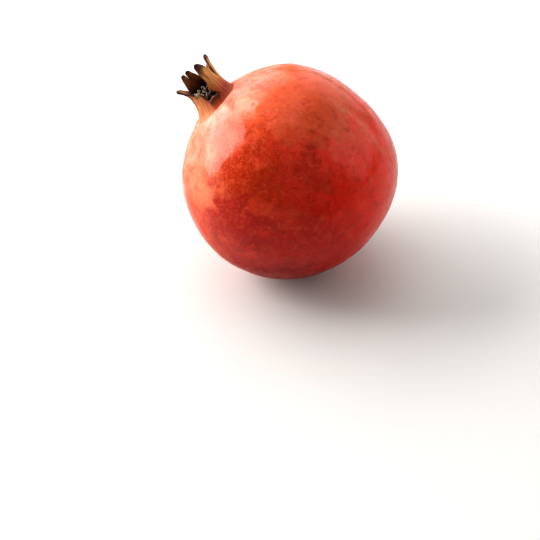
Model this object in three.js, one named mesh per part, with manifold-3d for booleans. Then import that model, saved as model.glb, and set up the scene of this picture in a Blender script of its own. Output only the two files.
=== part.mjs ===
// A whole pomegranate that lies on a table with its crown leaning up to one side.
// Three pieces: the rind with the crown that grows out of it, the dried stamens in the crown, and the
// clipped stem.
// Units are millimetres. The fruit is modelled upright, with its core along +Z and the origin in its middle,
// and the whole of it is then leaned over on to its flat spot.
import * as THREE from "three";
import { mergeVertices } from "three/addons/utils/BufferGeometryUtils.js";
import Module from "manifold-3d";

const rad = THREE.MathUtils.degToRad;

// Round body. A polar angle is measured from the crown, an azimuth round the core.
const POLE_RADIUS = 43.2; // towards the crown and the stem
const SHOULDER = 0.031; // these shares of it are added: at the shoulders
const WAIST = 0.014; // round the waist
const LOPSIDED = 0.029; // to the fuller side, and taken from the other
const FULL_SIDE_AZIMUTH = rad(-139);
const RIDGES = 5; // blunt ridges that run from the crown to the stem
const RIDGE = 0.022;
const RIDGE_SHARPNESS = 0.25; // makes the ridges narrower than the flats between them
const RIDGE_AZIMUTH = rad(13);
const DIMPLE_DEPTH = 1.8; // round the stem
const DIMPLE_ANGLE = rad(9);

// How it lies
const LEAN = rad(49); // from upright, towards -X
const FLAT_DEPTH = 1.2; // how far the weight presses the rind in where it rests

// Crown: a short flaring tube that splits into lobes. A height is measured from its root.
const ROOT_POLAR = rad(14);
const ROOT_CROWN_RADIUS = 10.4;
const NECK_RADIUS = 7.5;
const FLARE_HEIGHT = 3.2; // over which the root narrows to the neck
const WALL = 1.4;
const CUP_DEPTH = 1.6; // the floor of the crown, below its root
const CUP_RADIUS = NECK_RADIUS - WALL;
const BEND = 2.4; // the crown grows a little to one side
const BEND_HEIGHT = 6;
const BEND_AZIMUTH = rad(41);
const TIP_THICKNESS = 1.15;

// Lobes in turn round the crown. Each starts at a split from the one before it, and its middle leads to its
// tip, up to where its twist grows. The last one is torn off, which leaves only the edge between the splits
// beside it.
const LOBES = [
  { splitAzimuth: -39, splitHeight: 2.3, azimuth: -21, tipHeight: 18.3, tipRadius: 6.6, tipWidth: 1.35, twist: 0 },
  { splitAzimuth: 21, splitHeight: 6.9, azimuth: 49, tipHeight: 16.8, tipRadius: 9.1, tipWidth: 1.5, twist: 38 },
  { splitAzimuth: 110, splitHeight: 8.2, azimuth: 141, tipHeight: 17, tipRadius: 6.4, tipWidth: 0.9, twist: 0 },
  { splitAzimuth: 151, splitHeight: 13.6, azimuth: 165, tipHeight: 17.3, tipRadius: 6.5, tipWidth: 1.1, twist: 0 },
  { splitAzimuth: 190, splitHeight: 9.5, azimuth: 231, tipHeight: 15.6, tipRadius: 9.5, tipWidth: 1.4, twist: 35 },
  { splitAzimuth: 261, splitHeight: 9, azimuth: 291, torn: true },
];

// Stamens
const STAMENS = 28;
const STAMEN_RADIUS = 0.36;
const STAMEN_SIDES = 5;
const STAMEN_STEPS = 6;
const ANTHER_RADIUS = 0.65;
const FINEST_EDGE = 0.05; // shorter edges are closed up after pieces are joined
const PAD_RADIUS = 5.2; // the pad that they grow from
const PAD_THICKNESS = 1.1;
const GAP = 0.35; // between pieces that touch

// Stem
const STEM_RADIUS = 2.3;
const STEM_LENGTH = 2.9;

// Fineness of the mesh
const LOBE_COLUMNS = 12;
const BODY_ROWS = 34;
const TUBE_ROWS = 6;
const LOBE_ROWS = 8;
const CUP_ROWS = 4;

const RIND_RED = new THREE.Color(0xb23a22);
const CROWN_BROWN = new THREE.Color(0x84502f);
const STAMEN_TAN = new THREE.Color(0xa88a62);
const STEM_BROWN = new THREE.Color(0x6f5136);

// Body

function bodyRadius(polar, azimuth) {
  const turn = RIDGES * (azimuth - RIDGE_AZIMUTH);
  const ridge = RIDGE * (Math.cos(turn) + RIDGE_SHARPNESS * Math.cos(2 * turn));
  const waist = WAIST + LOPSIDED * Math.cos(azimuth - FULL_SIDE_AZIMUTH) + ridge;
  const share = SHOULDER * Math.sin(2 * polar) ** 2 + waist * Math.sin(polar) ** 4;
  const dimple = DIMPLE_DEPTH * Math.exp(-(((Math.PI - polar) / DIMPLE_ANGLE) ** 2));
  return POLE_RADIUS * (1 + share) - dimple;
}

const DOWN = new THREE.Vector3(-Math.sin(LEAN), 0, -Math.cos(LEAN));
const REST_HEIGHT = bodyRadius(Math.PI - LEAN, Math.PI) - FLAT_DEPTH;

// A point of the body, pressed on to the table plane where it would reach below it.
function bodyPoint(polar, azimuth) {
  const point = new THREE.Vector3().setFromSphericalCoords(bodyRadius(polar, azimuth), polar, azimuth);
  point.set(point.z, point.x, point.y); // three.js counts its polar angle from +Y
  const below = Math.max(0, point.dot(DOWN) - REST_HEIGHT);
  return point.addScaledVector(DOWN, -below);
}

// Crown

const ROOT_Z = bodyRadius(ROOT_POLAR, 0) * Math.cos(ROOT_POLAR);

function crownPoint(radius, azimuth, height) {
  const bend = BEND * (1 - Math.exp(-Math.max(0, height) / BEND_HEIGHT));
  return new THREE.Vector3(
    radius * Math.cos(azimuth) + bend * Math.cos(BEND_AZIMUTH),
    radius * Math.sin(azimuth) + bend * Math.sin(BEND_AZIMUTH),
    ROOT_Z + height,
  );
}

function tubeRadius(height) {
  return NECK_RADIUS + (ROOT_CROWN_RADIUS - NECK_RADIUS) * Math.exp(-height / FLARE_HEIGHT);
}

// Height of the crown's floor, which is dished up to its wall.
function floorHeight(radius) {
  return -CUP_DEPTH * (1 - (radius / CUP_RADIUS) ** 4);
}

// The lobes with their azimuths as angles, each from its own split to the next one's.
const lobes = LOBES.map((lobe, k) => {
  const next = LOBES[(k + 1) % LOBES.length];
  return {
    ...lobe,
    middle: rad(lobe.azimuth),
    start: rad(lobe.splitAzimuth),
    end: rad(next.splitAzimuth + (next.splitAzimuth < lobe.splitAzimuth ? 360 : 0)),
    endHeight: next.splitHeight,
  };
});

// Across a lobe's sector, s runs from its start, -1, over its middle, 0, to its end, 1.
function azimuthAt(lobe, s) {
  return lobe.middle + Math.abs(s) * (s < 0 ? lobe.start - lobe.middle : lobe.end - lobe.middle);
}

// The tube's edge, which the lobes rise from, passes from the height of one split to that of the next.
function rimHeight(lobe, s) {
  const u = (azimuthAt(lobe, s) - lobe.start) / (lobe.end - lobe.start);
  return THREE.MathUtils.lerp(lobe.splitHeight, lobe.endHeight, THREE.MathUtils.smoothstep(u, 0.25, 0.65));
}

// A lobe keeps most of its width for two thirds of its length, and then narrows to a blunt tip.
function lobeShare(t, tipShare) {
  const narrowing = 0.34 * Math.sqrt(t) + 0.66 * t ** 2.2;
  return 1 - (1 - tipShare) * narrowing;
}

// A point on a lobe, where t runs from the tube's edge to the tip, and side is 1 outside and -1 inside.
function lobePoint(lobe, s, t, side) {
  const base = tubeRadius(rimHeight(lobe, s)) - WALL / 2;
  const radius = base + (lobe.tipRadius - base) * t ** 1.4;
  const reach = azimuthAt(lobe, s) - lobe.middle;
  const edgeReach = Math.abs(azimuthAt(lobe, Math.sign(s)) - lobe.middle);
  const share = edgeReach ? lobeShare(t, lobe.tipWidth / (base * edgeReach)) : 1;
  const height = THREE.MathUtils.lerp(rimHeight(lobe, s), lobe.tipHeight - 0.7 * s * s, t);
  const thickness = THREE.MathUtils.lerp(WALL, TIP_THICKNESS, t);
  const edge = 1 - 0.35 * s * s * Math.min(1, 4 * t); // the edges are thinner than the middle
  const [along, out] = [reach * share * base, (side * thickness * edge) / 2];
  const turn = rad(lobe.twist) * t;
  const azimuth = lobe.middle + (along * Math.cos(turn) - out * Math.sin(turn)) / radius;
  return crownPoint(radius + along * Math.sin(turn) + out * Math.cos(turn), azimuth, height);
}

// Mesh building

class Skin {
  points = [];
  faces = [];

  add(points) {
    return points.map((p) => this.points.push(p) - 1);
  }

  // Joins two rows of vertices, which face the viewer when they run to the right and the second is above.
  join(lower, upper, closed) {
    const n = lower.length;
    for (let i = 0; i < (closed ? n : n - 1); i++) {
      const next = (i + 1) % n;
      this.faces.push(lower[i], lower[next], upper[next], lower[i], upper[next], upper[i]);
    }
  }

  geometry() {
    const made = new THREE.BufferGeometry().setFromPoints(this.points);
    made.setIndex(this.faces);
    return made;
  }
}

// The rind, from the stem end over the body, up the crown's tube and lobes, and down into its cup.
function rindGeometry() {
  const skin = new Skin();
  const across = (j) => (2 * j) / LOBE_COLUMNS - 1;
  const columns = lobes.flatMap((lobe) =>
    Array.from({ length: LOBE_COLUMNS }, (_, j) => ({
      azimuth: azimuthAt(lobe, across(j)),
      rim: rimHeight(lobe, across(j)),
    })),
  );
  const ring = (point) => skin.add(columns.map(point));

  const [stemEnd] = skin.add([bodyPoint(Math.PI, 0)]);
  let below = Array(columns.length).fill(stemEnd);
  for (let row = 1; row <= BODY_ROWS; row++) {
    const polar = THREE.MathUtils.lerp(Math.PI, ROOT_POLAR, row / BODY_ROWS);
    const above = ring(({ azimuth }) => bodyPoint(polar, azimuth));
    skin.join(below, above, true);
    below = above;
  }
  for (let row = 1; row <= TUBE_ROWS; row++) {
    const share = (row / TUBE_ROWS) ** 1.4;
    const above = ring(({ azimuth, rim }) => crownPoint(tubeRadius(rim * share), azimuth, rim * share));
    skin.join(below, above, true);
    below = above;
  }
  const outerRim = below;
  const innerRim = ring(({ azimuth, rim }) => crownPoint(tubeRadius(rim) - WALL, azimuth, rim));

  lobes.forEach((lobe, k) => {
    const indices = Array.from({ length: LOBE_COLUMNS + 1 }, (_, j) => j);
    const sector = (rim) => indices.map((j) => rim[(k * LOBE_COLUMNS + j) % rim.length]);
    let [outer, inner] = [sector(outerRim), sector(innerRim)];
    for (let row = 1; row <= LOBE_ROWS && !lobe.torn; row++) {
      const t = row / LOBE_ROWS;
      const nextOuter = skin.add(indices.map((j) => lobePoint(lobe, across(j), t, 1)));
      const nextInner = skin.add(indices.map((j) => lobePoint(lobe, across(j), t, -1)));
      skin.join(outer, nextOuter, false);
      skin.join(nextInner, inner, false);
      skin.join([inner[0], outer[0]], [nextInner[0], nextOuter[0]], false);
      skin.join([outer.at(-1), inner.at(-1)], [nextOuter.at(-1), nextInner.at(-1)], false);
      [outer, inner] = [nextOuter, nextInner];
    }
    skin.join(outer, inner, false);
  });

  below = innerRim;
  for (let row = 1; row <= CUP_ROWS; row++) {
    const share = row / CUP_ROWS;
    const radiusAt = (rim) => THREE.MathUtils.lerp(tubeRadius(rim) - WALL, CUP_RADIUS, share);
    const next = ring(({ azimuth, rim }) => crownPoint(radiusAt(rim), azimuth, rim * (1 - share)));
    skin.join(below, next, true);
    below = next;
  }
  for (const share of [0.93, 0.8, 0.5]) {
    const radius = CUP_RADIUS * share;
    const next = ring(({ azimuth }) => crownPoint(radius, azimuth, floorHeight(radius)));
    skin.join(below, next, true);
    below = next;
  }
  const [floor] = skin.add([crownPoint(0, 0, floorHeight(0))]);
  skin.join(below, Array(below.length).fill(floor), true);
  return skin.geometry();
}

// Solids

const wasm = await Module();
wasm.setup();

function solidOf(geometry) {
  const bare = geometry.clone();
  bare.deleteAttribute("normal");
  bare.deleteAttribute("uv");
  const merged = mergeVertices(bare, 1e-4);
  return new wasm.Manifold(
    new wasm.Mesh({
      numProp: 3,
      vertProperties: new Float32Array(merged.attributes.position.array),
      triVerts: new Uint32Array(merged.index.array),
    }),
  );
}

function geometryOf(solid) {
  const { vertProperties, triVerts } = solid.getMesh();
  const made = new THREE.BufferGeometry();
  made.setAttribute("position", new THREE.BufferAttribute(vertProperties, 3));
  made.setIndex(new THREE.BufferAttribute(triVerts, 1));
  return made;
}

// A repeatable run of numbers from 0 to 1.
function seeded(seed) {
  let state = seed;
  return () => {
    state = (state * 1664525 + 1013904223) % 4294967296;
    return state / 4294967296;
  };
}

// Stamens

function regularPolygon(radius, sides) {
  return Array.from({ length: sides }, (_, k) => {
    const corner = (2 * Math.PI * k) / sides;
    return new THREE.Vector2(radius * Math.cos(corner), radius * Math.sin(corner));
  });
}

// One dried stamen: a filament that climbs beside the cup's wall and curls over, with its anther on the end.
function stamenSolid(index, random) {
  const azimuth = (index / STAMENS) * 2 * Math.PI + rad(8) * (random() - 0.5);
  const inward = index % 2 ? 1 : 0.45; // the inner whorl leans in further
  const footRadius = 4.5 - 0.9 * (index % 2);
  const height = 5.6 + 2 * random();
  const curl = rad(50) * (random() - 0.5);
  const at = (radius, turn, h) => crownPoint(radius, azimuth + turn, h);
  const path = new THREE.CatmullRomCurve3([
    at(footRadius, 0, -0.7),
    at(footRadius + 0.25, curl * 0.1, height * 0.35),
    at(footRadius, curl * 0.3, height * 0.75),
    at(footRadius - 0.8 * inward, curl * 0.7, height),
    at(footRadius - 1.7 * inward, curl, height - 0.5 - random()),
  ]);
  const section = new THREE.Shape(regularPolygon(STAMEN_RADIUS, STAMEN_SIDES));
  const sweep = { extrudePath: path, steps: STAMEN_STEPS, curveSegments: 1 };
  const filament = new THREE.ExtrudeGeometry(section, sweep);
  const anther = new THREE.SphereGeometry(ANTHER_RADIUS, 5, 4);
  anther.scale(1, 1, 1.35);
  const end = path.getPoint(1);
  anther.translate(end.x, end.y, end.z);
  return solidOf(filament).add(solidOf(anther));
}

// The pad follows the floor of the crown and stays clear of it.
function padSolid() {
  const top = PAD_THICKNESS - CUP_DEPTH;
  const profile = [new THREE.Vector2(0, floorHeight(0) + GAP)];
  for (const share of [0.5, 0.8, 1]) {
    const radius = PAD_RADIUS * share;
    profile.push(new THREE.Vector2(radius, floorHeight(radius) + GAP));
  }
  profile.push(new THREE.Vector2(PAD_RADIUS * 0.85, top + 0.3), new THREE.Vector2(0, top));
  const pad = new THREE.LatheGeometry(profile, 24);
  pad.rotateX(Math.PI / 2);
  pad.translate(0, 0, ROOT_Z);
  return solidOf(pad);
}

function stamensGeometry() {
  const random = seeded(3);
  const each = Array.from({ length: STAMENS }, (_, index) => stamenSolid(index, random));
  const joined = wasm.Manifold.union([padSolid(), ...each]).simplify(FINEST_EDGE);
  const shells = joined.decompose().sort((a, b) => b.volume() - a.volume());
  return geometryOf(shells[0]); // pockets shut in between the filaments are left filled
}

// Stem

// The clipped stem: woody, a little swollen where it meets the fruit and where it was cut.
function stemGeometry() {
  const seat = -bodyRadius(Math.PI, 0) - GAP;
  const profile = [
    [0, -STEM_LENGTH],
    [STEM_RADIUS * 0.85, -STEM_LENGTH],
    [STEM_RADIUS, -STEM_LENGTH + 0.4],
    [STEM_RADIUS * 0.92, -STEM_LENGTH * 0.6],
    [STEM_RADIUS * 0.98, -STEM_LENGTH * 0.3],
    [STEM_RADIUS * 1.25, -0.7],
    [STEM_RADIUS * 1.15, -0.4],
    [0, 0],
  ].map(([radius, height]) => new THREE.Vector2(radius, height));
  const stem = new THREE.LatheGeometry(profile, 20);
  stem.rotateX(Math.PI / 2);
  const position = stem.attributes.position;
  for (let i = 0; i < position.count; i++) {
    const [x, y, z] = [position.getX(i), position.getY(i), position.getZ(i)];
    const swell = 1 + 0.06 * Math.cos(3 * Math.atan2(y, x));
    position.setXYZ(i, x * swell, y * swell, z < -STEM_LENGTH / 2 ? z + 0.12 * x : z);
  }
  stem.translate(0, 0, seat);
  return stem;
}

// Assembly

// Colours each vertex of the rind: the crown is drier and browner than the body below it.
function paintRind(geometry) {
  const { position } = geometry.attributes;
  const colours = new Float32Array(position.count * 3);
  const point = new THREE.Vector3();
  for (let i = 0; i < position.count; i++) {
    point.fromBufferAttribute(position, i);
    const share = THREE.MathUtils.smoothstep(point.z - ROOT_Z, 0, FLARE_HEIGHT / 2);
    RIND_RED.clone().lerp(CROWN_BROWN, share).toArray(colours, 3 * i);
  }
  geometry.setAttribute("color", new THREE.BufferAttribute(colours, 3));
}

function piece(name, geometry, material) {
  geometry.computeVertexNormals();
  const mesh = new THREE.Mesh(geometry, new THREE.MeshStandardMaterial({ metalness: 0, ...material }));
  mesh.name = name;
  return mesh;
}

const rind = rindGeometry();
paintRind(rind);

const pomegranate = new THREE.Group();
pomegranate.add(
  piece("fruit", rind, { vertexColors: true, roughness: 0.42 }),
  piece("stamens", stamensGeometry(), { color: STAMEN_TAN, roughness: 0.8 }),
  piece("stem", stemGeometry(), { color: STEM_BROWN, roughness: 0.85 }),
);
pomegranate.rotation.y = -LEAN;
pomegranate.position.z = REST_HEIGHT;

export default pomegranate;
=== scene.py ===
"""A ripe pomegranate lying on a pale studio floor with its open crown leaning up to the left."""
import math
import random

import bmesh
import bpy
from mathutils import Matrix, Vector, noise


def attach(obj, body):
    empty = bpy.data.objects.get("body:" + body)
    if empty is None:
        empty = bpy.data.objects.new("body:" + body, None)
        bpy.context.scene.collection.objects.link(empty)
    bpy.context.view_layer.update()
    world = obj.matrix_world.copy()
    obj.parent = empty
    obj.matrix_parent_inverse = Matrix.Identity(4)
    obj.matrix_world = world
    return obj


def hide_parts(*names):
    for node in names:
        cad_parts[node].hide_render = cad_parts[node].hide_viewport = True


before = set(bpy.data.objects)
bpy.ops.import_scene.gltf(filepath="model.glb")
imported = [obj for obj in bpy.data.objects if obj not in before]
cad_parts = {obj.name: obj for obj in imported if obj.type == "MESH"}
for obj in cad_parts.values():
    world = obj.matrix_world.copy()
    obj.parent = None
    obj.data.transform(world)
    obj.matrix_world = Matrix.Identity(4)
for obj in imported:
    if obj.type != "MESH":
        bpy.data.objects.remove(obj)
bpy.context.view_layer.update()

MM = 0.001

# The fruit's own frame: its core runs along Z with the crown on top, and the origin is in its middle.
LEAN = math.radians(49)
CORE_HEIGHT = 43.636 * MM
ROOT_HEIGHT = 42.2 * MM  # of the crown's root above the middle
FRUIT = Matrix.Translation((0, 0, CORE_HEIGHT)) @ Matrix.Rotation(-LEAN, 4, "Y")
TO_FRUIT = FRUIT.inverted()

# The crown, in millimetres above its root and degrees round the core
BEND = 2.4  # it grows a little to one side
BEND_HEIGHT = 6
BEND_AZIMUTH = 41
CUP_RADIUS = 7  # the cup below the root lies within this radius and depth
CUP_DEPTH = 3
CUP_FLOOR = -1.65
SEAT_RADIUS = 10.6  # of its seat in the rind
COLLAR_RADIUS = 12.2  # of the low collar of rind round it
TORN_FROM = -99  # one lobe is torn off, and its stretch of the edge runs from here
TORN_WIDTH = 60
HIGH_SPLIT = 9  # the torn edge falls from the height of one split to that of the next
LOW_SPLIT = 2.3
NEAR_LOBE = TORN_FROM + TORN_WIDTH  # the side of the lobe after it
BENT_LOBE = 230  # the middle of the lobe that is bent out on the left

# Stamens and stem, in millimetres
FILAMENT_RADIUS = 0.14
ANTHER_RADIUS = 0.26
BARK_RADIUS = 1.6  # from here outwards the stem is bark

# Lights, in metres
LIGHT_DISTANCE = 1.2  # from the fruit
WINDOW_HEIGHT = 1.36

# The photograph's view
VIEW_AZIMUTH = math.radians(17.8)
VIEW_ELEVATION = math.radians(40)
VIEW_DISTANCE = 0.625
FRAME_PIXELS = 540
FRUIT_PIXEL = (290.5, 170.5)  # where the middle of the fruit falls in the frame
LENS = 100
SENSOR = 36


# Helpers


def paint(hex_code):
    """An sRGB hex colour as linear RGBA."""
    channels = [int(hex_code[i : i + 2], 16) / 255 for i in (1, 3, 5)]
    linear = [c / 12.92 if c <= 0.04045 else ((c + 0.055) / 1.055) ** 2.4 for c in channels]
    return (*linear, 1.0)


def add(tree, kind, inputs=None, ramp=None, **settings):
    """A node with its settings, its inputs as values or links, and its colour ramp if it has one."""
    made = tree.nodes.new(kind)
    for name, value in settings.items():
        setattr(made, name, value)
    for socket, value in (inputs or {}).items():
        if isinstance(value, bpy.types.NodeSocket):
            tree.links.new(value, made.inputs[socket])
        else:
            made.inputs[socket].default_value = value
    if ramp:
        elements = made.color_ramp.elements
        while len(elements) < len(ramp):
            elements.new(0.5)
        for element, (position, colour) in zip(elements, ramp):
            element.position = position
            element.color = paint(colour)
    return made


def new_material(name):
    """A material with its node tree, its shader and the fruit's own coordinates in millimetres."""
    material = bpy.data.materials.new(name)
    material.use_nodes = True
    tree = material.node_tree
    shader = tree.nodes["Principled BSDF"]
    place = add(tree, "ShaderNodeTexCoord")
    core = add(
        tree,
        "ShaderNodeMapping",
        {
            "Vector": place.outputs["Object"],
            "Location": (0, 0, CORE_HEIGHT),
            "Rotation": (0, -LEAN, 0),
            "Scale": (MM, MM, MM),
        },
        vector_type="TEXTURE",
    )
    return material, tree, shader, core.outputs["Vector"]


def only(obj):
    """Selects one object and makes it active."""
    bpy.ops.object.select_all(action="DESELECT")
    obj.select_set(True)
    bpy.context.view_layer.objects.active = obj


def copy_of_node(node, name):
    """A new piece with a copy of a node's mesh, its doubles merged and its triangles paired into quads."""
    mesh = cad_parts[node].data.copy()
    mesh.materials.clear()
    piece = bpy.data.objects.new(name, mesh)
    bpy.context.scene.collection.objects.link(piece)
    only(piece)
    bpy.ops.object.mode_set(mode="EDIT")
    bpy.ops.mesh.select_all(action="SELECT")
    bpy.ops.mesh.remove_doubles(threshold=0.002 * MM)
    bpy.ops.mesh.tris_convert_to_quads(face_threshold=math.radians(60), shape_threshold=math.radians(60))
    bpy.ops.object.mode_set(mode="OBJECT")
    return piece


def smooth_out(piece, levels):
    """Rounds a piece with an applied Subdivision Surface."""
    only(piece)
    modifier = piece.modifiers.new("Rounding", "SUBSURF")
    modifier.levels = modifier.render_levels = levels
    bpy.ops.object.modifier_apply(modifier=modifier.name)
    bpy.ops.object.shade_smooth()


def in_fruit(point):
    """A point in the fruit's own frame, in millimetres."""
    return (TO_FRUIT @ point) / MM


def smoothstep(low, high, x):
    """A smooth rise from 0 at low to 1 at high, or a fall where low is the higher."""
    t = min(1, max(0, (x - low) / (high - low)))
    return t * t * (3 - 2 * t)


def bell(x, middle, width):
    """A smooth bump: 1 at the middle, and gone about two widths from it."""
    return math.exp(-(((x - middle) / width) ** 2))


# Rind and crown


def split_fruit():
    """The fruit's copy as two closed pieces: the round rind, and the crown with its root sunk in the rind."""
    rind = copy_of_node("fruit", "rind")
    root = ROOT_HEIGHT / MM
    bpy.ops.object.mode_set(mode="EDIT")
    bpy.ops.mesh.select_all(action="DESELECT")
    cage = bmesh.from_edit_mesh(rind.data)
    for face in cage.faces:
        middle = in_fruit(face.calc_center_median())
        in_cup = math.hypot(middle.x, middle.y) < CUP_RADIUS and middle.z > root - CUP_DEPTH
        face.select = middle.z > root + 0.02 or in_cup
    bmesh.update_edit_mesh(rind.data)
    bpy.ops.mesh.separate(type="SELECTED")
    bpy.ops.object.mode_set(mode="OBJECT")
    crown = next(o for o in bpy.context.selected_objects if o != rind)
    crown.name = crown.data.name = "crown"
    # The seat in the rind goes deeper than the plug under the crown
    close_root(rind, 4 * MM, 0.85)
    close_root(crown, 2.6 * MM, 0.9)
    return rind, crown


def close_root(piece, depth, share):
    """Closes the open edge at the crown's root by a wall that goes down a depth and narrows by a share."""
    only(piece)
    bpy.ops.object.mode_set(mode="EDIT")
    bpy.ops.mesh.select_mode(type="EDGE")
    bpy.ops.mesh.select_all(action="DESELECT")
    bpy.ops.mesh.select_non_manifold(
        extend=False,
        use_wire=False,
        use_boundary=True,
        use_multi_face=False,
        use_non_contiguous=False,
        use_verts=False,
    )
    bpy.ops.transform.edge_crease(value=1)
    down = FRUIT.to_3x3() @ Vector((0, 0, -depth))
    bpy.ops.mesh.extrude_edges_move(TRANSFORM_OT_translate={"value": down})
    bpy.ops.transform.resize(value=(share, share, share))
    bpy.ops.mesh.fill()
    bpy.ops.mesh.select_all(action="SELECT")
    bpy.ops.mesh.normals_make_consistent(inside=False)
    bpy.ops.mesh.select_mode(type="VERT")
    bpy.ops.object.mode_set(mode="OBJECT")


def shape_rind(rind):
    """Gives the smooth body the slight swells and dents of a grown fruit, and a collar round the crown."""
    smooth_out(rind, 2)
    mesh = rind.data
    normals = [vertex.normal.copy() for vertex in mesh.vertices]
    for vertex, normal in zip(mesh.vertices, normals):
        place = in_fruit(vertex.co)
        across = math.hypot(place.x, place.y)
        swell = 0.35 * noise.noise(place / 13) + 0.1 * noise.noise(place / 4.5)
        if place.z > 0:
            if across < SEAT_RADIUS:
                continue
            swell = swell * smoothstep(SEAT_RADIUS, 12, across) + 0.3 * bell(across, COLLAR_RADIUS, 1.3)
        off_floor = smoothstep(0, 3 * MM, vertex.co.z)
        vertex.co += normal * (swell * off_floor * MM)
    mesh.update()


def core_bend(height):
    """How far the crown's core has grown to one side at a height above its root, in millimetres."""
    away = BEND * (1 - math.exp(-max(0, height) / BEND_HEIGHT))
    towards = math.radians(BEND_AZIMUTH)
    return Vector((away * math.cos(towards), away * math.sin(towards), 0))


def torn_edge(azimuth):
    """Height of the torn edge above the crown's root at an azimuth, or none where the edge isn't torn."""
    share = ((azimuth - TORN_FROM) % 360) / TORN_WIDTH
    fall = (HIGH_SPLIT - LOW_SPLIT) * smoothstep(0.25, 0.65, share)
    return HIGH_SPLIT - fall if share < 1 else None


def crown_masks(turn, azimuth, height, outward):
    """How far a point of the crown is inside, on a dark dry edge, with painted shade under the torn edge, and
    in painted shade on the bent lobe and its seam, for its material.
    """
    inside = smoothstep(0.1, -0.3, outward) if height > CUP_FLOOR else 0
    edge = smoothstep(0.75, 0.35, abs(outward)) * smoothstep(3, 6, height)
    torn = torn_edge(azimuth)
    # Below the torn edge a dark band, partly the dry edge and partly painted shade
    if torn:
        edge = max(edge, smoothstep(2, 0.5, torn - height) * 0.9)
    elif NEAR_LOBE < azimuth < NEAR_LOBE + 9:
        side = smoothstep(NEAR_LOBE + 5, NEAR_LOBE + 2, azimuth)
        edge = max(edge, side * smoothstep(1, 3, height))
    # Painted shade: the bent lobe is darkened, and a painted shadow runs down the seam below it
    ragged = noise.noise(Vector((turn.x * 4, turn.y * 4, height * 0.25)))
    off = abs((azimuth - BENT_LOBE + 180) % 360 - 180)
    lobe = smoothstep(40, 16, off) * smoothstep(6, 11.5, height + 4 * ragged)
    seam = 0.8 * smoothstep(13, 3, off + 8 * ragged) * smoothstep(0.5, 7, height + 3 * ragged)
    return {"inside": inside, "edge": edge, "shade": max(lobe, seam)}


def dried_shift(place, radial, azimuth, height, normal):
    """How far a point of the crown has moved as it dried, in millimetres along the world's axes."""
    turn = radial.normalized()
    # The torn side opens into a round notch beside the near lobe, and its lowest stretch curls up into a lip
    notch = 9 * bell(height, 2.4, 1.8) - 7 * bell(height, 7, 2.2)
    notch *= bell(azimuth, NEAR_LOBE + 1, 13)
    opened = Matrix.Rotation(math.radians(notch), 3, "Z") @ radial - radial
    lip = 2.2 * bell(azimuth, -52, 16) * min(1, height / LOW_SPLIT) * smoothstep(11, LOW_SPLIT, height)
    # Its fibres stand out, the lobes crumple and their tips sway
    fibre = 0.2 * noise.noise(Vector((turn.x * 7, turn.y * 7, height * 0.12)))
    crumple = 0.3 * noise.noise(Vector((place.x / 2.6, place.y / 2.6, height / 5)))
    ribs = (fibre + crumple * smoothstep(5, 13, height)) * smoothstep(0, 3, height)
    sway = Vector((noise.noise(place / 5), noise.noise(place / 5 + Vector((9, 0, 0))), 0))
    sway *= 0.45 * smoothstep(7, 15, height)
    return FRUIT.to_3x3() @ (opened + Vector((0, 0, lip)) + sway) + normal * ribs


def shape_crown(crown):
    """Dries the crown, and writes the attributes that its material reads."""
    smooth_out(crown, 2)
    mesh = crown.data
    kinds = {"inside": "FLOAT", "edge": "FLOAT", "shade": "FLOAT", "grain": "FLOAT_VECTOR"}
    for name, kind in kinds.items():
        mesh.attributes.new(name, kind, "POINT")
    masks = {name: mesh.attributes[name].data for name in kinds}
    normals = [vertex.normal.copy() for vertex in mesh.vertices]
    for vertex, normal in zip(mesh.vertices, normals):
        place = in_fruit(vertex.co)
        height = place.z - ROOT_HEIGHT / MM
        radial = place - core_bend(height)
        radial.z = 0
        turn = radial.normalized()
        azimuth = math.degrees(math.atan2(radial.y, radial.x))
        outward = (FRUIT.to_3x3() @ turn).dot(normal)
        for name, value in crown_masks(turn, azimuth, height, outward).items():
            masks[name][vertex.index].value = value
        # The fibres run along the crown, whatever its width
        masks["grain"][vertex.index].vector = (7 * turn.x, 7 * turn.y, height)
        if height > 0.05:
            vertex.co += dried_shift(place, radial, azimuth, height, normal) * MM
    mesh.update()


# Stamens


def crown_point(radius, azimuth, height):
    """A point round the crown's bent core, from millimetres and degrees."""
    around = math.radians(azimuth)
    flat = core_bend(height) + Vector((radius * math.cos(around), radius * math.sin(around), 0))
    return FRUIT @ ((flat + Vector((0, 0, height))) * MM + Vector((0, 0, ROOT_HEIGHT)))


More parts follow.
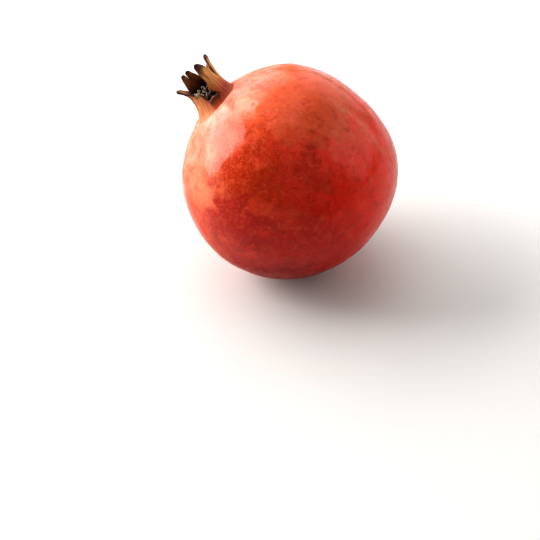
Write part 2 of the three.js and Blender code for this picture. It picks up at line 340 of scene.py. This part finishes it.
def bend_filament(foot, azimuth, height, lean, loop, turns, rng):
    """One dry filament: up along the wall, then round in a hook, with its anther at the end.

    Foot is how far from the core it stands, lean how much further its top is, and loop the hook's radius.
    """
    points = [crown_point(foot, azimuth, -0.4), crown_point(foot, azimuth, 0.35 * height)]
    neck = crown_point(foot + 0.6 * lean, azimuth + 3, 0.75 * height)
    points.append(neck)
    up = (crown_point(foot + lean, azimuth + 5, height) - neck).normalized()
    spin = rng.uniform(0, 2 * math.pi)
    across = up.orthogonal().normalized()
    side = across * math.cos(spin) + up.cross(across) * math.sin(spin)
    third = up.cross(side)
    reach = 0.25 * height * MM - loop
    for k in range(1, 8):
        angle = turns * 2 * math.pi * k / 7
        rise = up * (loop * math.sin(angle) + reach * min(1, k / 3))
        round_it = side * (loop * (1 - math.cos(angle)))
        points.append(neck + rise + round_it + third * (0.18 * loop * k))
    curve = bpy.data.curves.new("filament", "CURVE")
    curve.dimensions = "3D"
    curve.bevel_depth = FILAMENT_RADIUS * MM
    curve.bevel_resolution = 1
    curve.resolution_u = 3
    curve.use_fill_caps = True
    spline = curve.splines.new("NURBS")
    spline.points.add(len(points) - 1)
    for point, place in zip(spline.points, points):
        point.co = (*place, 1)
    spline.use_endpoint_u = True
    spline.order_u = 4
    filament = bpy.data.objects.new("filament", curve)
    bpy.context.scene.collection.objects.link(filament)
    bpy.ops.object.select_all(action="DESELECT")
    bpy.ops.mesh.primitive_uv_sphere_add(
        segments=8,
        ring_count=6,
        radius=ANTHER_RADIUS * MM,
        location=points[-1],
    )
    anther = bpy.context.object
    anther.scale = (1, 0.7, 1.5)
    anther.rotation_euler = [rng.uniform(0, 3) for _ in range(3)]
    return [filament, anther]


def make_stamens():
    """Whorls of dry hooked filaments on the crown's floor. The longest lean out over the torn side."""
    rng = random.Random(4)
    # Azimuth and height of the outer whorl's tips, which follow the crown's edge
    edge = ((-180, 9.8), (-100, 8.4), (-60, 7.0), (-25, 5.0), (10, 4.6), (60, 6.5), (120, 7.5), (180, 9.8))
    # Each whorl's number of filaments, their foot, their height as a share of the outer ones' and their lean
    whorls = ((30, 5.3, 1.0, 0.2), (24, 4.5, 0.88, 0.1), (18, 3.4, 0.75, -0.2))
    pieces = []
    for count, foot, share, lean in whorls:
        for k in range(count):
            azimuth = -180 + 360 * (k + 0.7 * rng.random()) / count
            low = max(p for p in edge if p[0] <= azimuth)
            high = min(p for p in edge if p[0] > azimuth)
            tip = low[1] + (high[1] - low[1]) * (azimuth - low[0]) / (high[0] - low[0])
            height = share * tip * rng.uniform(0.86, 1.04)
            loop = rng.uniform(0.35, 0.75) * MM
            turns = rng.uniform(0.45, 0.85)
            pieces += bend_filament(foot, azimuth, height, lean, loop, turns, rng)
    bpy.ops.object.select_all(action="DESELECT")
    for piece in pieces:
        piece.select_set(True)
    bpy.context.view_layer.objects.active = pieces[0]
    bpy.ops.object.convert(target="MESH")
    bpy.ops.object.join()
    stamens = bpy.context.object
    stamens.name = stamens.data.name = "stamens_dry"
    bpy.ops.object.transform_apply(location=True, rotation=True, scale=True)
    bpy.ops.object.shade_smooth()
    return stamens


# Stem


def make_stem():
    """The clipped stem, with furrows along its bark."""
    stem = copy_of_node("stem", "clipped_stem")
    smooth_out(stem, 2)
    for vertex in stem.data.vertices:
        place = in_fruit(vertex.co)
        across = Vector((place.x, place.y, 0))
        if across.length < BARK_RADIUS:
            continue
        turn = across.normalized()
        furrow = 0.18 * noise.noise(Vector((turn.x * 5, turn.y * 5, place.z * 0.6)))
        vertex.co += (FRUIT.to_3x3() @ turn) * (furrow * MM)
    stem.data.update()
    return stem


# Materials

# Directions from the fruit's middle, in its own frame
CROWN_SIDE = (-0.1, -0.2, 1)
UNDERSIDE = (-0.45, -0.61, -0.65)

# Regions of the skin, each over the ones before it: its colour, the direction of its middle, the degrees from
# there to where it begins to fade and to where it is gone, how ragged it is, and its strength
RIND_REGIONS = (
    # Orange and tan on top, and rust round the crown and below it
    ("#D65E30", (0.72, -0.36, 0.58), 10, 36, 0.4, 1),
    ("#B6563A", (0.84, 0.15, 0.52), 10, 34, 0.4, 1),
    ("#C04A2A", CROWN_SIDE, 26, 58, 0.4, 1),
    ("#B03E1A", (-0.9, -0.3, 0.1), 20, 66, 0.6, 1),
    # Painted sheen: the pale and pinkish regions on the shoulder round the crown stand in for gloss there,
    # and rust where that ends
    ("#D87856", (-0.06, -0.77, 0.63), 4, 24, 0.06, 1),
    ("#DC9484", (0, 0, 1), 14, 30, 0.06, 1),
    ("#D68A7A", (-0.50, -0.24, 0.83), 12, 32, 0.2, 1),
    ("#DA9082", (0.36, 0.44, 0.82), 12, 34, 0.2, 1),
    ("#BE7460", (0.74, 0.32, 0.59), 6, 22, 0.2, 1),
    ("#D88066", (0.54, -0.26, 0.80), 3, 14, 0.12, 1),
    ("#AC401C", (0.62, -0.43, 0.66), 2, 12, 0.2, 0.6),
    ("#AC3414", (0.34, -0.80, 0.48), 12, 34, 0.4, 1),
    # Bright red and orange on the right, partly its own crimson and partly painted light on that side
    ("#EC4634", (0.92, -0.30, -0.15), 24, 56, 0.5, 1),
    ("#D05C38", (0.90, -0.08, 0.42), 12, 36, 0.5, 1),
    ("#E63420", (0.66, -0.50, -0.55), 12, 42, 0.4, 1),
    # Crimson low on the front with a browner patch above it, dark red behind, and underneath a darker red
    # that is painted shade
    ("#BC0E05", (-0.02, -0.88, -0.46), 14, 50, 0.4, 1),
    ("#A8341A", (0.74, -0.65, 0.12), 3, 15, 0.2, 0.5),
    ("#A60E05", (-0.08, -0.96, 0.2), 13, 25, 0.3, 0.9),
    ("#9C1C0C", (0.1, 0.95, -0.3), 36, 84, 0.5, 1),
    ("#920A04", UNDERSIDE, 14, 44, 0.4, 1),
)


def rind_material():
    """Ripe rind: a thin waxy skin, satin, mottled in every size from broad blushes down to pores, with
    painted sheen round the crown, painted light on the right and painted shade underneath.
    """
    material, tree, shader, core = new_material("Pomegranate rind")
    unit = add(tree, "ShaderNodeVectorMath", {0: core}, operation="NORMALIZE").outputs[0]

    def cloud(size, detail=3, offset=0, curl=0.0):
        """Noise whose clouds are about so many millimetres across."""
        apart = {0: core, 1: (offset, offset, offset)}
        moved = add(tree, "ShaderNodeVectorMath", apart, operation="ADD").outputs[0]
        settings = {"Vector": moved, "Scale": 1 / size, "Detail": detail}
        settings |= {"Roughness": 0.6, "Distortion": curl}
        return add(tree, "ShaderNodeTexNoise", settings).outputs["Fac"]

    patch = cloud(9)
    mottle = cloud(3.2, offset=31)
    wobble = add(tree, "ShaderNodeMath", {0: patch, 1: 0.5}, operation="SUBTRACT").outputs[0]

    def facing(direction, near, far, ragged, most):
        """The fade of a soft round region of the skin, which begins at near and ends at far, in degrees."""
        towards = {0: unit, 1: Vector(direction).normalized()}
        dot = add(tree, "ShaderNodeVectorMath", towards, operation="DOT_PRODUCT").outputs["Value"]
        uneven = {0: wobble, 1: ragged, 2: dot}
        moved = add(tree, "ShaderNodeMath", uneven, operation="MULTIPLY_ADD").outputs[0]
        return moved, math.cos(math.radians(far)), math.cos(math.radians(near)), 0, most

    def share_of(*fades):
        """The product of smooth fades, each a value, the ends of its range and the shares at these ends."""
        product = None
        for value, low, high, least, most in fades:
            ends = {"Value": value, "From Min": low, "From Max": high, "To Min": least, "To Max": most}
            fade = add(tree, "ShaderNodeMapRange", ends, interpolation_type="SMOOTHSTEP").outputs["Result"]
            if product is not None:
                fade = add(tree, "ShaderNodeMath", {0: product, 1: fade}, operation="MULTIPLY").outputs[0]
            product = fade
        return product

    # A pale line along one ridge, a painted highlight: how far a point is from it, along the core and out
    # from it
    split = add(tree, "ShaderNodeSeparateXYZ", {0: core})
    bent = {0: wobble, 1: 4.0, 2: split.outputs["Y"]}
    bent = add(tree, "ShaderNodeMath", bent, operation="MULTIPLY_ADD").outputs[0]
    off_line = add(tree, "ShaderNodeMath", {0: bent}, operation="ABSOLUTE").outputs[0]
    along, out = split.outputs["Z"], split.outputs["X"]

    # The skin's colours, each over the ones before it, and the fades that say where it shows
    regions = [(hex_code, facing(*region)) for hex_code, *region in RIND_REGIONS]
    coats = (
        # Orange clouds about 9 mm across, and the regions
        ("#E0602A", (patch, 0.45, 0.7, 0, 0.4)),
        *regions,
        # Clouds, a darker mottle and a pale bloom, 3 to 5 mm across
        ("#E2703F", (cloud(4.5, 3, 19), 0.5, 0.75, 0, 0.35)),
        ("#981A0A", (mottle, 0.48, 0.72, 0, 0.45)),
        ("#E0664C", (cloud(3.6, 4, 43, 0.6), 0.48, 0.68, 0, 0.6), facing((0.85, 0.05, 0.4), 34, 66, 0.6, 1)),
        # Flecks of about 1 mm: dark, golden near the crown, and pink
        ("#8E1608", (cloud(1.4, 3, 57, 0.8), 0.51, 0.65, 0, 0.4), (patch, 0.62, 0.38, 0.3, 1)),
        ("#E87C40", (cloud(1.1, 4, 83, 0.4), 0.48, 0.7, 0, 0.5), facing(CROWN_SIDE, 30, 75, 0.5, 1)),
        ("#E4604A", (cloud(1.2, 3, 71, 1.2), 0.54, 0.66, 0, 0.5)),
        # The pale line of painted highlight, on the ridge at the top right
        (
            "#F2A48C",
            (off_line, 2.0, 0.2, 0, 0.24),
            (along, -30, -20, 0, 1),
            (along, 18, 8, 0, 1),
            (out, 20, 30, 0, 1),
            (mottle, 0.35, 0.6, 0, 1),
        ),
    )
    colour = paint("#D8401C")
    for hex_code, *fades in coats:
        over = {0: share_of(*fades), 6: colour, 7: paint(hex_code)}
        colour = add(tree, "ShaderNodeMix", over, data_type="RGBA").outputs[2]
    tree.links.new(colour, shader.inputs["Base Color"])

    tree.links.new(share_of((mottle, 0.3, 0.7, 0.22, 0.33)), shader.inputs["Roughness"])
    pores = {"Height": cloud(1.3, 4, 11), "Strength": 0.4, "Distance": 0.1 * MM}
    tree.links.new(add(tree, "ShaderNodeBump", pores).outputs["Normal"], shader.inputs["Normal"])

    # The fine unevenness of the wax dulls the skin at a low angle, most of all by the crown and underneath.
    # The bloom by the crown keeps it matt where it is seen straight on.
    slant = add(tree, "ShaderNodeLayerWeight", {"Blend": 0.5}).outputs["Facing"]
    by_crown = share_of((slant, 0.43, 0.68, 0, 1), facing((0, 0, 1), 44, 70, 0, 1))
    underneath = share_of((slant, 0.35, 0.7, 0, 1), facing(UNDERSIDE, 20, 64, 0, 1))
    bloom = share_of((slant, 0.42, 0.12, 0, 1), facing((-0.40, -0.30, 0.86), 14, 36, 0.3, 1))
    gloss = share_of((slant, 0.6, 1.0, 1, 0.5), (underneath, 0, 1, 1, 0.25), (bloom, 0, 1, 1, 0.1))
    kept = add(tree, "ShaderNodeMath", {0: 1.0, 1: by_crown}, operation="SUBTRACT").outputs[0]
    gloss = add(tree, "ShaderNodeMath", {0: gloss, 1: kept}, operation="MULTIPLY").outputs[0]
    for socket, strength in (("Specular IOR Level", 0.52), ("Coat Weight", 0.22)):
        shader.inputs[socket].default_value = strength
        level = add(tree, "ShaderNodeMath", {0: gloss, 1: strength}, operation="MULTIPLY").outputs[0]
        tree.links.new(level, shader.inputs[socket])
    shader.inputs["IOR"].default_value = 1.38
    shader.inputs["Specular Tint"].default_value = paint("#FFB49E")
    shader.inputs["Coat Roughness"].default_value = 0.12
    return material


def crown_material():
    """Dried calyx: woody and fibrous, rusty at its root, ochre up the lobes and nearly black at the tips,
    with painted light on its near left side and painted shade inside, on the bent lobe and under the torn
    edge.
    """
    material, tree, shader, core = new_material("Dried calyx")
    split = add(tree, "ShaderNodeSeparateXYZ", {0: core})
    above_root = {0: split.outputs["Z"], 1: ROOT_HEIGHT / MM}
    height = add(tree, "ShaderNodeMath", above_root, operation="SUBTRACT").outputs[0]
    masks = {
        name: add(tree, "ShaderNodeAttribute", attribute_name=name, attribute_type="GEOMETRY").outputs["Fac"]
        for name in ("shade", "inside", "edge")
    }

    # The colours change with height, unevenly by a few millimetres
    clouds = {"Vector": core, "Scale": 1 / 3, "Detail": 4, "Roughness": 0.6}
    patch = add(tree, "ShaderNodeTexNoise", clouds).outputs["Fac"]
    uneven = add(tree, "ShaderNodeMath", {0: patch, 1: 0.5}, operation="SUBTRACT").outputs[0]
    shifted = add(tree, "ShaderNodeMath", {0: uneven, 1: 7, 2: height}, operation="MULTIPLY_ADD").outputs[0]
    low, high = -2, 20
    span = {"Value": shifted, "From Min": low, "From Max": high}
    climb = add(tree, "ShaderNodeMapRange", span).outputs["Result"]

    def rising(*ramp):
        """The colour at each height, from a ramp whose positions are millimetres above the crown's root."""
        stops = [((position - low) / (high - low), colour) for position, colour in ramp]
        return add(tree, "ShaderNodeValToRGB", {"Fac": climb}, ramp=stops).outputs["Color"]

    def coated(colour, *coats):
        """A colour under coats, each given by its strength, its colour and how it blends with the rest."""
        for strength, above, blend in coats:
            over = {0: strength, 6: colour, 7: above}
            colour = add(tree, "ShaderNodeMix", over, data_type="RGBA", blend_type=blend).outputs[2]
        return colour

    # Fibres 0.5 mm apart that run along the crown
    grain = add(tree, "ShaderNodeAttribute", attribute_name="grain", attribute_type="GEOMETRY")
    along = {"Vector": grain.outputs["Vector"], "Scale": (2.0, 2.0, 0.16)}
    along = add(tree, "ShaderNodeMapping", along).outputs["Vector"]
    fibres = {"Vector": along, "Scale": 1.0, "Detail": 4, "Roughness": 0.6}
    fibre = add(tree, "ShaderNodeTexNoise", fibres).outputs["Fac"]
    stripes = [(0.34, "#8E5A48"), (0.48, "#E8D8CE"), (0.6, "#FFFFFF")]
    streak = add(tree, "ShaderNodeValToRGB", {"Fac": fibre}, ramp=stripes).outputs["Color"]

    outer = rising(
        (-2, "#A04A2C"),
        (0.5, "#AC5028"),
        (4, "#B45A2E"),
        (7.5, "#D49A58"),
        (13, "#DCA864"),
        (15.5, "#6B3A26"),
        (17.5, "#2A1414"),
    )
    # Painted shade: the inside is near-black low in the cup, rising to its own browns near the tips
    inner = rising((6, "#0B0403"), (9, "#2C120B"), (11, "#84461F"), (15, "#B07840"), (17, "#40281E"))
    # Painted light: the tube is painted a lighter tan on its near left side, the side the lamps light
    painted_light = {0: core, 1: (-0.09, -0.06, 0)}
    painted_light = add(tree, "ShaderNodeVectorMath", painted_light, operation="DOT_PRODUCT").outputs["Value"]
    painted_light = {"Value": painted_light, "From Min": -0.1, "From Max": 0.45, "To Max": 0.75}
    painted_light = add(tree, "ShaderNodeMapRange", painted_light, interpolation_type="SMOOTHSTEP").outputs["Result"]
    edge = add(tree, "ShaderNodeMath", {0: masks["edge"], 1: 0.85}, operation="MULTIPLY").outputs[0]
    # The outer colour under painted light, the fibres, painted shade on the bent lobe, the inside with its
    # painted shade, and the dark edges with painted shade under the torn edge
    colour = coated(
        outer,
        (painted_light, paint("#C98A56"), "MIX"),
        (0.65, streak, "MULTIPLY"),
        (masks["shade"], paint("#3A1A12"), "MIX"),
        (masks["inside"], coated(inner, (0.7, streak, "MULTIPLY")), "MIX"),
        (edge, paint("#2A120C"), "MIX"),
    )
    tree.links.new(colour, shader.inputs["Base Color"])
    ribs = add(tree, "ShaderNodeBump", {"Height": fibre, "Strength": 0.6, "Distance": 0.25 * MM})
    tree.links.new(ribs.outputs["Normal"], shader.inputs["Normal"])
    shader.inputs["Roughness"].default_value = 0.6
    shader.inputs["IOR"].default_value = 1.45
    return material


def stamen_material():
    """Dried filaments: straw on their curled ends, partly painted highlight, and brown going to black down in
    the crown, where the black is painted shade.
    """
    material, tree, shader, core = new_material("Dried stamens")
    tone = add(tree, "ShaderNodeTexNoise", {"Vector": core, "Scale": 1 / 1.3, "Detail": 2}).outputs["Fac"]
    split = add(tree, "ShaderNodeSeparateXYZ", {0: core})
    above_root = {0: split.outputs["Z"], 1: ROOT_HEIGHT / MM}
    height = add(tree, "ShaderNodeMath", above_root, operation="SUBTRACT").outputs[0]
    lifted = add(tree, "ShaderNodeMath", {0: tone, 1: 12, 2: height}, operation="MULTIPLY_ADD").outputs[0]
    span = {"Value": lifted, "From Min": 9, "From Max": 14}
    share = add(tree, "ShaderNodeMapRange", span).outputs["Result"]
    # Painted shade: black low in the crown; the pale straw ends are partly painted highlight
    straw = [(0.1, "#160A06"), (0.5, "#7A5236"), (0.85, "#F2E2CC")]
    colour = add(tree, "ShaderNodeValToRGB", {"Fac": share}, ramp=straw)
    tree.links.new(colour.outputs["Color"], shader.inputs["Base Color"])
    shader.inputs["Roughness"].default_value = 0.55
    return material


def stem_material():
    """Clipped twig: dull grey-brown bark, furrowed along its length."""
    material, tree, shader, core = new_material("Twig bark and cut wood")
    along = add(tree, "ShaderNodeMapping", {"Vector": core, "Scale": (2.5, 2.5, 0.5)}).outputs["Vector"]
    furrows = add(tree, "ShaderNodeTexNoise", {"Vector": along, "Scale": 1.0, "Detail": 5}).outputs["Fac"]
    bark = add(tree, "ShaderNodeValToRGB", {"Fac": furrows}, ramp=[(0.35, "#3A2A1E"), (0.65, "#8A6E52")])
    tree.links.new(bark.outputs["Color"], shader.inputs["Base Color"])
    bump = add(tree, "ShaderNodeBump", {"Height": furrows, "Strength": 0.7, "Distance": 0.25 * MM})
    tree.links.new(bump.outputs["Normal"], shader.inputs["Normal"])
    shader.inputs["Roughness"].default_value = 0.85
    return material


# Studio


def from_view(x, y, z):
    """A direction given as seen from the camera's side: x to the right, y away from it and z up."""
    return Matrix.Rotation(VIEW_AZIMUTH, 3, "Z") @ Vector((x, y, z))


def place_camera():
    """Puts the camera where the photograph was taken from, aimed so that the fruit falls on its pixel."""
    back = from_view(0, -math.cos(VIEW_ELEVATION), math.sin(VIEW_ELEVATION))
    right = from_view(1, 0, 0)
    middle = Vector((0, 0, CORE_HEIGHT))
    lens_pixels = LENS / SENSOR * FRAME_PIXELS
    pitch = math.atan2(FRUIT_PIXEL[1] - FRAME_PIXELS / 2, lens_pixels)
    yaw = math.atan2(FRUIT_PIXEL[0] - FRAME_PIXELS / 2, lens_pixels)
    data = bpy.data.cameras.new("Camera")
    data.lens = LENS
    data.sensor_width = SENSOR
    data.clip_start = 0.01
    camera = bpy.data.objects.new("Camera", data)
    bpy.context.scene.collection.objects.link(camera)
    up = back.cross(right)
    aim = Matrix((right, up, back)).transposed()
    aim = Matrix.Rotation(pitch, 3, right) @ aim
    aim = Matrix.Rotation(yaw, 3, aim.col[1]) @ aim
    camera.matrix_world = Matrix.Translation(middle + back * VIEW_DISTANCE) @ aim.to_4x4()
    bpy.context.scene.camera = camera


def add_panel(name, turn, rise, width, height, radiance):
    """A soft studio light at a fixed distance from the fruit. It stands upright on the floor where rise is 0.

    Turn goes from straight left (0) over straight behind (90) to straight right (180) of the fruit, as the
    camera sees it, and rise is the angle above the floor. Radiance is the brightness, whatever the size.
    """
    data = bpy.data.lights.new(name, "AREA")
    data.shape = "RECTANGLE"
    data.size = width
    data.size_y = height
    data.energy = radiance * math.pi * width * height
    light = bpy.data.objects.new(name, data)
    bpy.context.scene.collection.objects.link(light)
    light.visible_camera = False
    around, up = math.radians(turn), math.radians(rise)
    towards = from_view(-math.cos(around) * math.cos(up), math.sin(around) * math.cos(up), math.sin(up))
    middle = CORE_HEIGHT if rise else height / 2 + 0.01
    light.location = towards * LIGHT_DISTANCE + Vector((0, 0, middle))
    light.rotation_euler = towards.to_track_quat("Z", "Y").to_euler()


def build_studio():
    """The floor, the lights and the sky, and how the picture is developed."""
    bpy.ops.mesh.primitive_circle_add(vertices=96, radius=12, fill_type="NGON", location=(0, 0, 0))
    floor = bpy.context.object
    floor.name = "floor"
    material = bpy.data.materials.new("White paper sweep")
    material.use_nodes = True
    shader = material.node_tree.nodes["Principled BSDF"]
    shader.inputs["Base Color"].default_value = paint("#DAD8D5")
    shader.inputs["Roughness"].default_value = 0.7
    floor.data.materials.append(material)

    # A row of windows round the left, dimmer towards the back
    add_panel("Left window", 4, 0, 0.4, WINDOW_HEIGHT, 9.0)
    add_panel("Corner window", 23, 0, 0.4, WINDOW_HEIGHT, 6.8)
    add_panel("Back window", 43, 0, 0.44, WINDOW_HEIGHT, 4.6)
    add_panel("Far window", 72, 0, 0.7, WINDOW_HEIGHT, 2.1)
    add_panel("Back right card", 115, 28, 1.0, 1.0, 1.25)
    add_panel("Right card", 172, 26, 1.1, 0.9, 1.15)
    add_panel("Top card", 80, 74, 0.9, 0.9, 0.9)
    world = bpy.data.worlds.new("World")
    world.use_nodes = True
    sky = world.node_tree.nodes["Background"]
    sky.inputs["Color"].default_value = paint("#FFFFFF")
    sky.inputs["Strength"].default_value = 0.16
    bpy.context.scene.world = world
    bpy.context.scene.view_settings.view_transform = "Standard"
    bpy.context.scene.view_settings.look = "High Contrast"


def build():
    """Makes the four pieces and the studio."""
    rind, crown = split_fruit()
    shape_rind(rind)
    shape_crown(crown)
    stamens = make_stamens()
    stem = make_stem()
    dressed = (
        (rind, "fruit", "rind", rind_material()),
        (crown, "fruit", "rind", crown_material()),
        (stamens, "stamens", "stamens", stamen_material()),
        (stem, "stem", "stem", stem_material()),
    )
    for piece, node, slot, material in dressed:
        piece.data.materials.clear()
        piece.data.materials.append(material)
        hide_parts(node)
        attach(piece, "root")
    build_studio()
    place_camera()


build()
